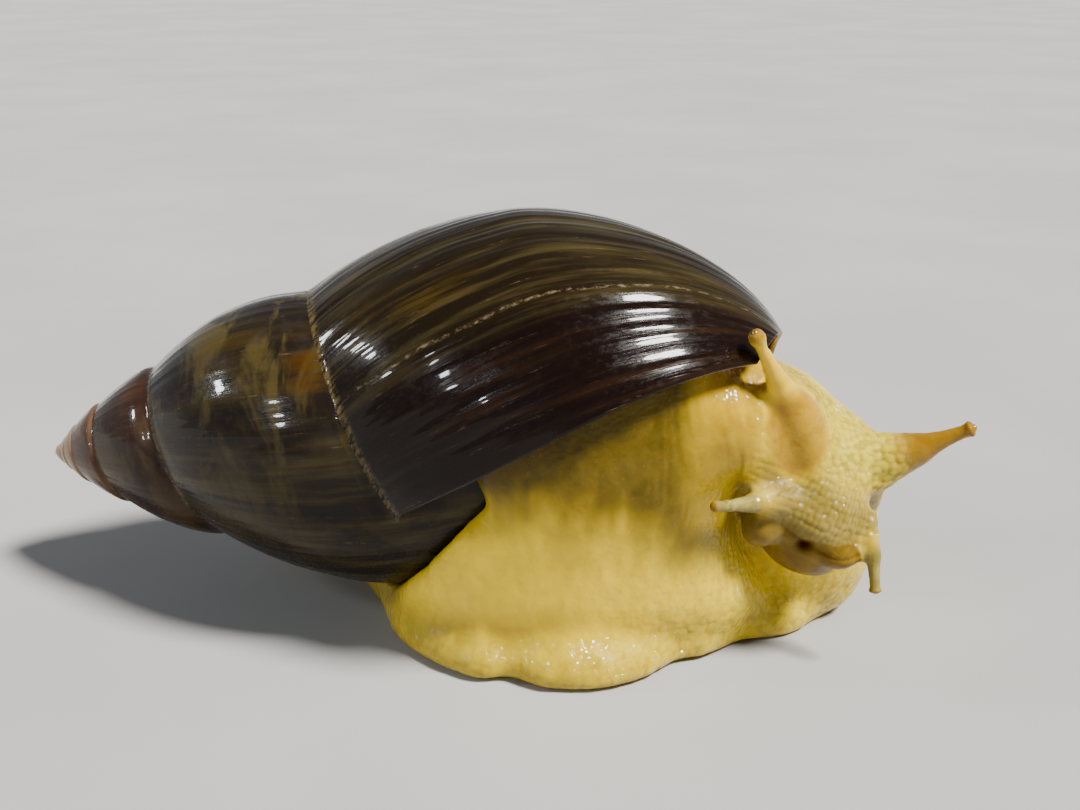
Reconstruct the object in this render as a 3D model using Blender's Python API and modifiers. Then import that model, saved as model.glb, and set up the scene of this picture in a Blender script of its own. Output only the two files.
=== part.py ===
"""A giant African land snail, life size and at rest on its sole, as solids for one still model.

Metres, +Z up, the floor at z = 0. The head end points to +X and its face to -Y.
Dimensions below are in millimetres in a working frame whose +X runs along the sole.
The last step moves everything so that the middle of the whole is over the origin.
"""
import math

import bmesh
import bpy
import numpy as np
from mathutils import Matrix, Vector

MM = 0.001
GAP = 0.3                      # air between neighbouring solids
FLOOR_BLOCK = 40.0             # depth of the block that levels the sole

# ---- shell: a helico-spiral, measured along its own axis from the tip ----
SHELL_LENGTH = 150.0
TURNS = 6.25                   # whorls from tip to lip
STEPS = 32                     # columns in a whorl
SPIRE_ROWS = 4
BASE_ROWS = 12
SHELL_TIP = Vector((-111.8, 29.3, 25.0))
SHELL_YAW = math.radians(-9.1)
SHELL_RISE = math.radians(9.7)
LIP_ANGLE = math.radians(108.4)        # from the top of the shell round to the near side
SUTURE_RADIUS, SUTURE_RADIUS_RATE, SUTURE_RADIUS_BEND = 30.8, 0.549, 0.008
SUTURE_HEIGHT, SUTURE_HEIGHT_RATE, SUTURE_HEIGHT_BEND = 77.1, 0.899, 0.0245
TIP_STRETCH, TIP_STRETCH_RATE, TIP_START = 1.27, 0.9, 6.3
BASE_RATE = 0.077
SHOULDER_SHARE = 0.864         # where the widest line lies between two sutures
BODY_RADIUS, BODY_HEIGHT = 38.4, 116.4
BASE_POWER, BASE_ROUND = 1.64, 1.66
SHOULDER_POWER, SPIRE_POWER, SPIRE_TURNS = 2.1, 1.15, 1.7     # bulge of the last whorl and of the flat-sided spire
COLUMELLA_RADIUS = 5.1
LIP_SLANT, LIP_CURVE = 0.127, 0.74     # the lip runs back over the whorl toward its front end
LIP_WALL, DEEP_WALL = 1.1, 1.9
NOTCH_MIDDLE = Vector((33.0, -4.0, 43.7))      # an egg-shaped opening where the neck leaves the front of the lip
NOTCH_HALVES = Vector((22.5, 20.0, 16.2))
BASE_CROWDING = 1.5            # rows of the base lie closer together toward its end
TIP_DOME = 0.3                 # how far the tip stands out before its first ring
FRONT_CLOSE = -0.6             # growth time whose base height closes the front end on the axis

# ---- aperture, a hollow that follows the whorl back inside the lip ----
POCKET_DEPTH = 0.055           # of a turn, how far the flesh reaches in
POCKET_MOUTH = 0.06            # of a turn, how far the cutter sticks out
POCKET_SPAN = (0.09, 0.955)    # the part of the lip that it opens
POCKET_LIP_POINTS, POCKET_WALL_POINTS = 18, 12
POCKET_STEP, POCKET_STEP_WALL = 0.02, 1.4
PARIETAL_CLEAR = 0.9           # air between the hollow and the whorl that forms its inner wall
PARIETAL_START, PARIETAL_END = 5.5, 2.0        # how far the inner wall's span stays off its ends

# ---- flesh ----
VOXEL = 1.15
SMOOTHING = 6
SOFTNESS = 0.5
FLESH_SHARE = 0.075            # of the remeshed faces that are kept
MARGIN_HEIGHT = 2.6
FOOT_TOP = 9.0

# ring of the foot's margin, seen from above, running anticlockwise from the tail; the dents are notches in its frill
MARGIN = [
    (-73, 40), (-61, 29.5), (-51, 20.5), (-45, 8), (-41.5, -2.5), (-35.8, -10), (-29.5, -15.3), (-24, -18.4),
    (-20.2, -16.6), (-15.5, -20), (-9.5, -21.5), (-3, -21), (3.5, -18.3), (8.5, -13.8), (12, -10.6), (16, -9.8),
    (20, -7.2), (24, -4), (29.5, -3.3), (34.8, -1), (41, 6), (46.5, 13), (48.5, 21), (46, 30),
    (38, 37), (26, 40.5), (10, 41), (-8, 41), (-25, 42), (-42, 44), (-58, 44),
]
MARGIN_POINTS = 96
# what each level of the foot keeps of that ring: height, inset
FOOT_LEVELS = [
    (-2.0, 2.4), (0.0, 1.4), (1.2, 0.4), (MARGIN_HEIGHT, 0.0), (4.3, 0.7), (6.0, 2.2), (8.2, 4.6), (10.5, 8.0),
]

# the column between foot and aperture: height, middle x, middle y, half length, half depth, yaw in degrees
COLUMN = [
    (1.0, -4.0, 8.0, 34.0, 18.0, 5), (8.0, -4.0, 5.0, 34.0, 19.5, 5), (14.0, -5.0, 2.0, 31.0, 18.5, 4),
    (22.0, -5.0, -1.0, 26.5, 16.5, 4), (31.0, -3.0, -5.5, 22.5, 14.0, 6), (40.0, -3.0, -8.5, 24.0, 11.5, 8),
    (48.0, -2.0, -9.5, 23.0, 9.0, 12), (55.0, 2.0, -9.0, 17.0, 7.0, 18), (60.0, 3.0, -9.0, 12.0, 5.0, 20),
]
COLUMN_LOOPS, COLUMN_SIDES = 22, 40
COLUMN_SQUARENESS = 2.3

# a neck that comes forward out of the aperture and bends down to the front of the foot: x, y, z, radius
NECK = [(2, -7, 46, 10), (13, -2, 44, 13), (24, 5, 38.5, 14.5), (32, 9, 31, 15), (36.5, 12, 21, 14), (37, 14, 11, 13),
        (36, 15, 3, 11)]
TAIL = [(-20, 22, 2.5, 11.0), (-38, 28, 2.0, 7.5), (-51, 32.5, 1.8, 6.2), (-62, 37.5, 1.6, 4.6), (-70, 41, 1.3, 2.8)]
TAIL_FLATNESS = 0.42
# the skirt that slopes from under the lip down to the left end of the foot
FLARE = [(-10, -10, 33, 9.0), (-18.7, -8.5, 26.7, 9.0), (-25, -6.5, 19.5, 8.5), (-31, -3, 12.5, 7.4), (-36, 2, 6.5, 6.0),
         (-39.5, 6, 3.5, 4.0)]

# ---- head: middle, half sizes along face-right, face-up and forward ----
FACE_UP = Vector((0.407, 0.16, 0.90))
FACE_FORWARD = Vector((-0.12, -0.98, 0.18))
HEAD_LUMPS = {
    "crown": ((38.6, 1.5, 34.3), (8.6, 9.4, 10.5)),
    "cheek": ((31.3, -1.0, 36.5), (7.6, 9.6, 7.5)),
    "brow": ((36.2, -3.2, 31.3), (8.2, 9.2, 8.4)),
    "snout": ((34.6, -4.8, 27.4), (9.0, 8.6, 8.6)),
    "chin": ((32.6, -3.6, 19.8), (8.2, 4.6, 6.2)),
    "nape": ((38.0, 6.0, 30.0), (12.0, 13.0, 9.0)),
}
ORAL_LOBES = {
    "oral_lobe_right": ((24.6, -8.6, 26.2), (3.8, 4.0, 4.4)),
    "oral_lobe_left": ((37.6, -9.2, 21.9), (5.0, 3.4, 4.2)),
}
# each feeler: base, bend, tip, and radii at the base, at the bend, at the neck of the bulb and at the bulb
FEELERS = {
    "upper_tentacle_right": ((33.4, -2.6, 37.5), (29.4, -5.6, 46.8), (21.0, -12.0, 63.0), (6.8, 4.3, 1.0, 1.45)),
    "upper_tentacle_left": ((45.0, -1.0, 35.4), (52.5, -3.5, 39.0), (61.2, -6.0, 44.0), (5.8, 3.0, 1.15, 1.5)),
    "lower_tentacle_right": ((28.3, -9.0, 31.8), (21.4, -14.4, 33.3), (14.3, -19.5, 35.0), (3.4, 1.6, 0.85, 1.05)),
    "lower_tentacle_left": ((42.6, -6.0, 27.4), (44.5, -10.0, 21.5), (44.9, -12.3, 15.0), (3.0, 1.45, 0.9, 1.25)),
}
FLARE_SHARES = ((0.25, 0.5), (0.5, 0.17), (0.8, 0.0))  # place from bend to tip, share of the extra radius left there
BULB_SHARE = 0.91              # how far from bend to tip the bulb begins
FEELER_SIDES, FEELER_STEPS = 10, 15
EYE_RADIUS, EYE_DEPTH = 0.8, 0.45
EYES = {"eye_right": "upper_tentacle_right", "eye_left": "upper_tentacle_left"}

# ---- where one part of the flesh ends and the next begins: a point and the way across ----
TAIL_CUT = (Vector((-38.0, 15.0, 0.0)), Vector((-1.0, 0.25, 0.0)))
FOOT_CUT = (Vector((0.0, 0.0, FOOT_TOP)), Vector((0.0, 0.0, -1.0)))
BODY_CUT = (Vector((21.5, -5.0, 30.0)), Vector((-0.96, -0.05, -0.28)))
HEAD_CUT = (Vector((32.0, 1.0, 36.0)), Vector((0.45, -0.85, -0.30)))
CUTTER_REACH = 300.0
WELD = 0.02                    # points this near each other are one after a Boolean

COLOURS = {
    "shell": (0.035, 0.020, 0.012, 0.25), "foot": (0.62, 0.42, 0.06, 0.45), "tail": (0.58, 0.42, 0.09, 0.45),
    "body": (0.60, 0.50, 0.26, 0.45), "neck": (0.66, 0.46, 0.09, 0.45), "head": (0.66, 0.58, 0.34, 0.45),
    "oral_lobe": (0.68, 0.62, 0.42, 0.40), "upper_tentacle": (0.62, 0.42, 0.10, 0.40),
    "lower_tentacle": (0.66, 0.58, 0.32, 0.40), "eye": (0.05, 0.03, 0.02, 0.20),
}


def clear_scene():
    for obj in list(bpy.data.objects):
        bpy.data.objects.remove(obj, do_unlink=True)


def new_collection(name):
    made = bpy.data.collections.new(name)
    bpy.context.scene.collection.children.link(made)
    return made


def mesh_object(name, points, faces, collection):
    """A mesh object from points in working millimetres, its faces turned outward."""
    mesh = bpy.data.meshes.new(name)
    mesh.from_pydata([tuple(c * MM for c in p) for p in points], [], faces)
    shape = bmesh.new()
    shape.from_mesh(mesh)
    bmesh.ops.recalc_face_normals(shape, faces=shape.faces)
    shape.to_mesh(mesh)
    shape.free()
    mesh.validate()
    obj = bpy.data.objects.new(name, mesh)
    collection.objects.link(obj)
    return obj


def make_helper(obj):
    obj.hide_render = True
    obj.display_type = "WIRE"
    return obj


def finish(obj):
    """Gives the object its own material, named for the part."""
    kind = obj.name.removesuffix("_right").removesuffix("_left")
    red, green, blue, roughness = COLOURS[kind]
    paint = bpy.data.materials.new(obj.name)
    paint.use_nodes = True
    surface = paint.node_tree.nodes["Principled BSDF"]
    surface.inputs["Base Color"].default_value = (red, green, blue, 1.0)
    surface.inputs["Roughness"].default_value = roughness
    obj.data.materials.clear()
    obj.data.materials.append(paint)
    obj.data.shade_smooth()
    return obj


def settle(obj):
    """Makes the evaluated mesh the object's own and drops its modifiers."""
    bpy.context.view_layer.update()
    graph = bpy.context.evaluated_depsgraph_get()
    made = bpy.data.meshes.new_from_object(obj.evaluated_get(graph))
    obj.modifiers.clear()
    obj.data = made
    return obj


def combine(obj, other, operation):
    step = obj.modifiers.new(operation.title(), "BOOLEAN")
    step.object, step.operation, step.solver, step.use_self = other, operation, "EXACT", True
    return settle(obj)


def copy_of(obj, name, collection):
    twin = bpy.data.objects.new(name, obj.data.copy())
    collection.objects.link(twin)
    return twin


def keep_largest(obj):
    """Drops any crumb that a Boolean left beside the main body."""
    shape = bmesh.new()
    shape.from_mesh(obj.data)
    bmesh.ops.remove_doubles(shape, verts=shape.verts, dist=WELD * MM)
    bmesh.ops.dissolve_degenerate(shape, edges=shape.edges, dist=WELD * MM)
    shape.verts.index_update()
    left, bodies = set(shape.verts), []
    while left:
        body, front = set(), [left.pop()]
        while front:
            vert = front.pop()
            body.add(vert)
            for edge in vert.link_edges:
                other = edge.other_vert(vert)
                if other in left:
                    left.remove(other)
                    front.append(other)
        bodies.append(body)
    bodies.sort(key=len)
    for body in bodies[:-1]:
        bmesh.ops.delete(shape, geom=list(body), context="VERTS")
    bmesh.ops.triangulate(shape, faces=shape.faces)
    shape.to_mesh(obj.data)
    shape.free()
    return obj


def swollen(obj, name, collection, distance):
    """A copy whose surface lies this far outside the original."""
    twin = make_helper(copy_of(obj, name, collection))
    step = twin.modifiers.new("Swell", "DISPLACE")
    step.mid_level, step.strength = 0.0, distance * MM
    return settle(twin)


# ---- shell ----
def suture_radius(t):
    return SUTURE_RADIUS * math.exp(SUTURE_RADIUS_RATE * t + SUTURE_RADIUS_BEND * t * t)


def suture_height(t):
    grown = SUTURE_HEIGHT * math.exp(SUTURE_HEIGHT_RATE * t + SUTURE_HEIGHT_BEND * t * t)
    return grown + TIP_STRETCH * (1 - math.exp(-TIP_STRETCH_RATE * (t + TIP_START)))


def base_height(t):
    return SHELL_LENGTH * math.exp(BASE_RATE * t)


def widest(t):
    """Radius and height of the widest line of the whorl at growth time t."""
    early = min(t, -1.0)
    height = suture_height(early) + SHOULDER_SHARE * (suture_height(early + 1) - suture_height(early))
    share = (suture_height(early + 1) - height) / (base_height(early) - height)
    kept = (1 - share ** BASE_POWER) ** (1 / BASE_ROUND)
    radius = COLUMELLA_RADIUS + (suture_radius(early + 1) - COLUMELLA_RADIUS) / kept
    swell = min(max(t + 1, 0.0), 1.0)
    return radius * (BODY_RADIUS / radius) ** swell, height * (BODY_HEIGHT / height) ** swell


def shell_radius(t, height):
    radius, middle = widest(t)
    if height >= middle:
        share = min((height - middle) / (base_height(t) - middle), 1.0)
        return COLUMELLA_RADIUS + (radius - COLUMELLA_RADIUS) * (1 - share ** BASE_POWER) ** (1 / BASE_ROUND)
    share = (middle - height) / (middle - suture_height(t))
    young = min(max((-1 - t) / SPIRE_TURNS, 0.0), 1.0)
    power = SHOULDER_POWER + (SPIRE_POWER - SHOULDER_POWER) * young * young * (3 - 2 * young)
    return radius - (radius - suture_radius(t)) * min(share, 1.0) ** power


def shell_frame():
    along = Vector((
        math.cos(SHELL_RISE) * math.cos(SHELL_YAW), math.cos(SHELL_RISE) * math.sin(SHELL_YAW), math.sin(SHELL_RISE)
    ))
    up = (Vector((0, 0, 1)) - along * along.z).normalized()
    return along, up, along.cross(up)


ALONG, UP, NEAR = shell_frame()


def shell_point(t, height, radius):
    turn = LIP_ANGLE + 2 * math.pi * t
    return SHELL_TIP + ALONG * height + UP * (radius * math.cos(turn)) + NEAR * (radius * math.sin(turn))


def lip_time(v):
    return -LIP_SLANT * v ** LIP_CURVE


def make_shell(parts, helpers):
    spire_columns = round((TURNS - 1) * STEPS)
    columns = spire_columns + STEPS
    rows = SPIRE_ROWS + BASE_ROWS
    split = (suture_height(0) - suture_height(-1)) / (base_height(-1) - suture_height(-1))
    points, index = [], {}

    def corner(column, row):
        """The vertex of a grid corner. A whorl's lower edge is the next whorl's upper edge."""
        if column <= spire_columns and row == SPIRE_ROWS:
            return corner(column + STEPS, 0)
        if (column, row) not in index:
            if column <= spire_columns and row < SPIRE_ROWS:
                t = -TURNS + column / STEPS
                height = suture_height(t) + (suture_height(t + 1) - suture_height(t)) * row / SPIRE_ROWS
            else:
                if row <= SPIRE_ROWS:
                    v = split * row / SPIRE_ROWS
                else:
                    v = split + (1 - split) * (1 - (1 - (row - SPIRE_ROWS) / BASE_ROWS) ** BASE_CROWDING)
                t = -1 + (column - spire_columns) / STEPS * (1 + lip_time(v))
                height = suture_height(t) + (base_height(t) - suture_height(t)) * v
            index[column, row] = len(points)
            points.append(shell_point(t, height, shell_radius(t, height)))
        return index[column, row]

    faces = []
    for column in range(columns):
        for row in range(SPIRE_ROWS if column < spire_columns else rows):
            faces.append((corner(column, row), corner(column + 1, row),
                          corner(column + 1, row + 1), corner(column, row + 1)))
    tip = len(points)
    points.append(shell_point(-TURNS, -TIP_DOME, 0.0))
    ring = [corner(column, 0) for column in range(STEPS + 1)]
    ring += [corner(0, row) for row in range(SPIRE_ROWS - 1, 0, -1)]
    faces += [(tip, ring[i], ring[(i + 1) % len(ring)]) for i in range(len(ring))]
    foot_of_axis = len(points)
    points.append(shell_point(0, base_height(FRONT_CLOSE), 0.0))
    end = [corner(column, rows) for column in range(spire_columns, columns + 1)]
    faces += [(foot_of_axis, end[i], end[(i + 1) % len(end)]) for i in range(len(end))]
    lip = [corner(columns, row) for row in range(1, rows + 1)]
    wall = [corner(spire_columns, row) for row in range(SPIRE_ROWS + 1, rows + 1)]
    faces.append((corner(columns, 0), lip[0], wall[0]))
    i = j = 0
    while i < len(lip) - 1 or j < len(wall) - 1:
        if j == len(wall) - 1 or (i < len(lip) - 1 and (i + 1) / len(lip) <= (j + 1) / len(wall)):
            faces.append((lip[i], lip[i + 1], wall[j]))
            i += 1
        else:
            faces.append((lip[i], wall[j + 1], wall[j]))
            j += 1
    shell = mesh_object("shell", points, faces, parts)
    pocket = make_helper(make_pocket(helpers))
    combine(shell, pocket, "DIFFERENCE")
    bpy.ops.mesh.primitive_ico_sphere_add(subdivisions=3, radius=1.0)
    notch = bpy.context.object
    notch.data.transform(Matrix.Translation(NOTCH_MIDDLE * MM) @ Matrix.Diagonal((*(NOTCH_HALVES * MM), 1.0)))
    combine(shell, make_helper(notch), "DIFFERENCE")
    bpy.data.objects.remove(notch, do_unlink=True)
    return keep_largest(shell)


def make_pocket(helpers):
    """The hollow of the aperture: loops along the lip and back along the whorl that forms the inner wall."""
    low, high = POCKET_SPAN
    stages = ((POCKET_MOUTH, LIP_WALL), (0.0, LIP_WALL), (-POCKET_STEP, POCKET_STEP_WALL), (-POCKET_DEPTH, DEEP_WALL))
    wall_low = suture_height(0) + PARIETAL_START
    wall_high = base_height(-1) - PARIETAL_END
    loops = []
    for inward, wall in stages:
        loop = []
        for k in range(POCKET_LIP_POINTS):
            v = low + (high - low) * k / (POCKET_LIP_POINTS - 1)
            t = lip_time(v) + inward
            height = suture_height(t) + (base_height(t) - suture_height(t)) * v
            loop.append(shell_point(t, height, shell_radius(min(t, 0.0), height) - wall))
        for k in range(POCKET_WALL_POINTS):
            t = -1 + inward
            height = wall_high + (wall_low - wall_high) * k / (POCKET_WALL_POINTS - 1)
            loop.append(shell_point(t, height, shell_radius(t, height) + PARIETAL_CLEAR))
        loops.append(loop)
    return loft("aperture", loops, helpers)


def loft(name, loops, collection):
    """A solid through loops of equal count, its ends closed by fans."""
    count = len(loops[0])
    points = [p for loop in loops for p in loop]
    faces = []
    for k in range(len(loops) - 1):
        for i in range(count):
            a, b = k * count + i, k * count + (i + 1) % count
            faces.append((a, b, b + count, a + count))
    for k in (0, len(loops) - 1):
        middle = len(points)
        points.append(sum((Vector(p) for p in loops[k]), Vector()) / count)
        faces += [(middle, k * count + i, k * count + (i + 1) % count) for i in range(count)]
    return mesh_object(name, points, faces, collection)


# ---- flesh ----
def smooth_ring(points, count):
    """Points of a closed smooth curve through the given ones."""
    ring, total = [], len(points)
    for k in range(count):
        place = k / count * total
        i, f = int(place), place % 1
        a, b, c, d = (Vector(points[(i + n) % total]) for n in (-1, 0, 1, 2))
        ring.append(0.5 * (2 * b + (c - a) * f + (2 * a - 5 * b + 4 * c - d) * f * f
                           + (3 * b - a - 3 * c + d) * f * f * f))
    return ring


def smooth_path(points, count):
    """Rows of numbers along an open smooth curve through the given rows."""
    rows = [np.array(p, float) for p in points]
    rows = [2 * rows[0] - rows[1]] + rows + [2 * rows[-1] - rows[-2]]
    path = []
    for k in range(count):
        place = k / (count - 1) * (len(rows) - 3)
        i = min(int(place), len(rows) - 4)
        f = place - i
        a, b, c, d = rows[i:i + 4]
        path.append(0.5 * (2 * b + (c - a) * f + (2 * a - 5 * b + 4 * c - d) * f * f
                           + (3 * b - a - 3 * c + d) * f * f * f))
    return path


def limb(name, stations, collection, sides=20, steps=16, flatness=1.0):
    """A round tapering solid along a smooth path of (x, y, z, radius)."""
    path = smooth_path(stations, steps)
    middles = [Vector(row[:3]) for row in path]
    across, loops = Vector((0, 1, 0)), []
    for k, row in enumerate(path):
        ahead = (middles[min(k + 1, steps - 1)] - middles[max(k - 1, 0)]).normalized()
        across = (across - ahead * across.dot(ahead)).normalized()
        rise = ahead.cross(across)
        loops.append([middles[k] + across * (row[3] * math.cos(a)) + rise * (row[3] * flatness * math.sin(a))
                      for a in (2 * math.pi * n / sides for n in range(sides))])
    return loft(name, loops, collection)


def lump(name, middle, halves, collection, fineness=3):
    """An egg shape in the head's own directions."""
    up = FACE_UP.normalized()
    forward = (FACE_FORWARD - up * FACE_FORWARD.dot(up)).normalized()
    right = forward.cross(up)
    bpy.ops.mesh.primitive_ico_sphere_add(subdivisions=fineness, radius=1.0)
    made = bpy.context.object
    turn = Matrix((right, up, forward)).transposed()
    points = [Vector(middle) + turn @ (v.co * Vector(halves)) for v in made.data.vertices]
    faces = [tuple(face.vertices) for face in made.data.polygons]
    bpy.data.objects.remove(made, do_unlink=True)
    return mesh_object(name, points, faces, collection)


def foot_slab(helpers):
    ring = smooth_ring(MARGIN, MARGIN_POINTS)
    middle = sum(ring, Vector((0, 0))) / len(ring)
    loops = []
    for height, inset in FOOT_LEVELS:
        loop = []
        for k, p in enumerate(ring):
            tangent = ring[(k + 1) % len(ring)] - ring[k - 1]
            inward = Vector((-tangent.y, tangent.x)).normalized()
            if inward.dot(middle - p) < 0:
                inward = -inward
            q = p + inward * inset
            loop.append((q.x, q.y, height))
        loops.append(loop)
    return loft("foot_slab", loops, helpers)


def column(helpers):
    loops = []
    for height, x, y, length, depth, yaw in smooth_path(COLUMN, COLUMN_LOOPS):
        turn, lean = math.cos(math.radians(yaw)), math.sin(math.radians(yaw))
        loop = []
        for n in range(COLUMN_SIDES):
            a = 2 * math.pi * n / COLUMN_SIDES
            c, s = math.cos(a), math.sin(a)
            power = 2 / COLUMN_SQUARENESS
            dx = length * math.copysign(abs(c) ** power, c)
            dy = depth * math.copysign(abs(s) ** power, s)
            loop.append((x + dx * turn - dy * lean, y + dx * lean + dy * turn, height))
        loops.append(loop)
    return loft("column", loops, helpers)


def block(name, low, high, collection):
    points = [(x, y, z) for x in (low[0], high[0]) for y in (low[1], high[1]) for z in (low[2], high[2])]
    faces = [(0, 1, 3, 2), (4, 6, 7, 5), (0, 4, 5, 1), (2, 3, 7, 6), (0, 2, 6, 4), (1, 5, 7, 3)]
    return make_helper(mesh_object(name, points, faces, collection))


def make_flesh(shell, helpers):
    """The whole soft body as one smooth solid that clears the shell and stands on a flat sole."""
    pieces = [
        foot_slab(helpers), column(helpers), limb("neck_mass", NECK, helpers, 24, 20),
        limb("tail_mass", TAIL, helpers, 20, 12, TAIL_FLATNESS), limb("flare_mass", FLARE, helpers, 20, 16),
    ]
    pieces += [lump(name, middle, halves, helpers) for name, (middle, halves) in HEAD_LUMPS.items()]
    shape = bmesh.new()
    for piece in pieces:
        shape.from_mesh(piece.data)
        bpy.data.objects.remove(piece, do_unlink=True)
    mesh = bpy.data.meshes.new("flesh")
    shape.to_mesh(mesh)
    shape.free()
    flesh = bpy.data.objects.new("flesh", mesh)
    helpers.objects.link(make_helper(flesh))
    remesh = flesh.modifiers.new("Remesh", "REMESH")
    remesh.mode, remesh.voxel_size = "VOXEL", VOXEL * MM
    soften = flesh.modifiers.new("Soften", "SMOOTH")
    soften.factor, soften.iterations = SOFTNESS, SMOOTHING
    thin = flesh.modifiers.new("Thin", "DECIMATE")
    thin.ratio = FLESH_SHARE
    settle(flesh)
    combine(flesh, block("floor_block", (-CUTTER_REACH, -CUTTER_REACH, -FLOOR_BLOCK), (CUTTER_REACH, CUTTER_REACH, 0), helpers), "DIFFERENCE")
    combine(flesh, swollen(shell, "shell_swollen", helpers, GAP), "DIFFERENCE")
    return keep_largest(flesh)


def parted(flesh, cut, name, collection, helpers):
    """The part of the flesh that lies on the way-across side of the cut, and leaves the rest in flesh."""
    point, across = cut
    across = across.normalized()
    side = across.orthogonal().normalized()
    other = across.cross(side)

    def half_space(label, start, way):
        corners = [point + way * start + (side * a + other * b) * CUTTER_REACH
                   for a, b in ((-1, -1), (1, -1), (1, 1), (-1, 1))]
        return loft_box(label, corners, [c + way * CUTTER_REACH for c in corners], helpers)

    part = copy_of(flesh, name, collection)
    combine(part, half_space(name + "_keep", -GAP / 2, -across), "DIFFERENCE")
    combine(flesh, half_space(name + "_leave", -GAP / 2, across), "DIFFERENCE")
    keep_largest(flesh)
    return keep_largest(part)


def loft_box(name, near, far, collection):
    faces = [(0, 1, 2, 3), (4, 7, 6, 5)] + [(i, i + 4, (i + 1) % 4 + 4, (i + 1) % 4) for i in range(4)]
    return make_helper(mesh_object(name, near + far, faces, collection))


def feeler_stations(base, bend, tip, radii):
    """Rows of x, y, z and radius: a broad base that narrows like a trumpet to the neck of a round bulb."""
    base, bend, tip = Vector(base), Vector(bend), Vector(tip)
    root, half, waist, bulb = radii
    ahead = (tip - bend).normalized()
    rows = [(*base, root), (*base.lerp(bend, 0.5), (root + half) * 0.48), (*bend, half)]
    rows += [(*bend.lerp(tip, place), waist + (half - waist) * share) for place, share in FLARE_SHARES]
    rows += [(*bend.lerp(tip, BULB_SHARE), bulb), (*(tip - ahead * 0.15 * bulb), bulb * 0.72),
             (*(tip + ahead * 0.12 * bulb), bulb * 0.2)]
    return rows


def make_feelers(walls, parts):
    feelers = []
    for name, (base, bend, tip, radii) in FEELERS.items():
        feeler = limb(name, feeler_stations(base, bend, tip, radii), parts, FEELER_SIDES, FEELER_STEPS)
        for wall in walls:
            combine(feeler, wall, "DIFFERENCE")
        feelers.append(keep_largest(feeler))
    return feelers


def make_lobes(walls, feelers, parts, helpers):
    lobes = []
    for name, (middle, halves) in ORAL_LOBES.items():
        lobe = lump(name, middle, halves, parts, 2)
        neighbours = [swollen(feeler, feeler.name + "_" + name, helpers, GAP) for feeler in feelers]
        for wall in walls + neighbours:
            combine(lobe, wall, "DIFFERENCE")
        lobes.append(keep_largest(lobe))
    return lobes


def make_eyes(parts, helpers):
    """Eye spots set in the ends of the upper feelers, which are hollowed for them."""
    eyes = []
    for name, feeler_name in EYES.items():
        bend, tip = (Vector(place) for place in FEELERS[feeler_name][1:3])
        place = tip - (tip - bend).normalized() * EYE_DEPTH
        bpy.ops.mesh.primitive_ico_sphere_add(subdivisions=2, radius=1.0)
        form = bpy.context.object
        points = [place + v.co * EYE_RADIUS for v in form.data.vertices]
        faces = [tuple(face.vertices) for face in form.data.polygons]
        bpy.data.objects.remove(form, do_unlink=True)
        eye = mesh_object(name, points, faces, parts)
        feeler = bpy.data.objects[feeler_name]
        combine(feeler, swollen(eye, name + "_swollen", helpers, GAP / 2), "DIFFERENCE")
        keep_largest(feeler)
        eyes.append(eye)
    return eyes


def build():
    clear_scene()
    parts = new_collection("giant_african_land_snail")
    helpers = new_collection("cutters")
    helpers.hide_render = True
    shell = make_shell(parts, helpers)
    flesh = make_flesh(shell, helpers)
    tail = parted(flesh, TAIL_CUT, "tail", parts, helpers)
    foot = parted(flesh, FOOT_CUT, "foot", parts, helpers)
    body = parted(flesh, BODY_CUT, "body", parts, helpers)
    head = parted(flesh, HEAD_CUT, "head", parts, helpers)
    neck = copy_of(flesh, "neck", parts)
    bpy.data.objects.remove(flesh, do_unlink=True)
    walls = [swollen(part, part.name + "_swollen", helpers, GAP) for part in (head, neck, body)]
    feelers = make_feelers(walls, parts)
    lobes = make_lobes(walls, feelers, parts, helpers)
    eyes = make_eyes(parts, helpers)
    nodes = [shell, foot, tail, body, neck, head, *lobes, *feelers, *eyes]
    for node in nodes:
        finish(node)
    corners = np.array([(v.co.x, v.co.y) for node in nodes for v in node.data.vertices])
    shift = (corners.min(axis=0) + corners.max(axis=0)) / 2
    for obj in list(parts.objects) + list(helpers.objects):
        obj.data.transform(Matrix.Translation((-shift[0], -shift[1], 0)))
    print("moved by", [round(float(c) / MM, 3) for c in -shift])


build()
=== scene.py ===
"""Looks of a life-size giant African land snail: one wet skin, a glossy streaked shell and two eye spots.

Metres, +Z up. Lengths in the design are in millimetres in the working frame of the solids, whose
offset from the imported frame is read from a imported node.
"""
import itertools
import math

import bmesh
import bpy
import numpy as np
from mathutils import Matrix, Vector
from mathutils.bvhtree import BVHTree


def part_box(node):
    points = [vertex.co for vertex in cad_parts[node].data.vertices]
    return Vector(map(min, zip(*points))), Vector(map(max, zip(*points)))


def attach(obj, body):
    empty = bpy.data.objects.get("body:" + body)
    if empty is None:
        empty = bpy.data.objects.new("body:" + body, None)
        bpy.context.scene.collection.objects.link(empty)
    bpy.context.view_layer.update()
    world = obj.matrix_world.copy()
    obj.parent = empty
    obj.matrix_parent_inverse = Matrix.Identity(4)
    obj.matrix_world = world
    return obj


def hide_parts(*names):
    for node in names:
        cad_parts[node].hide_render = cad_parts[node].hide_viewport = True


MM = 0.001

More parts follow.
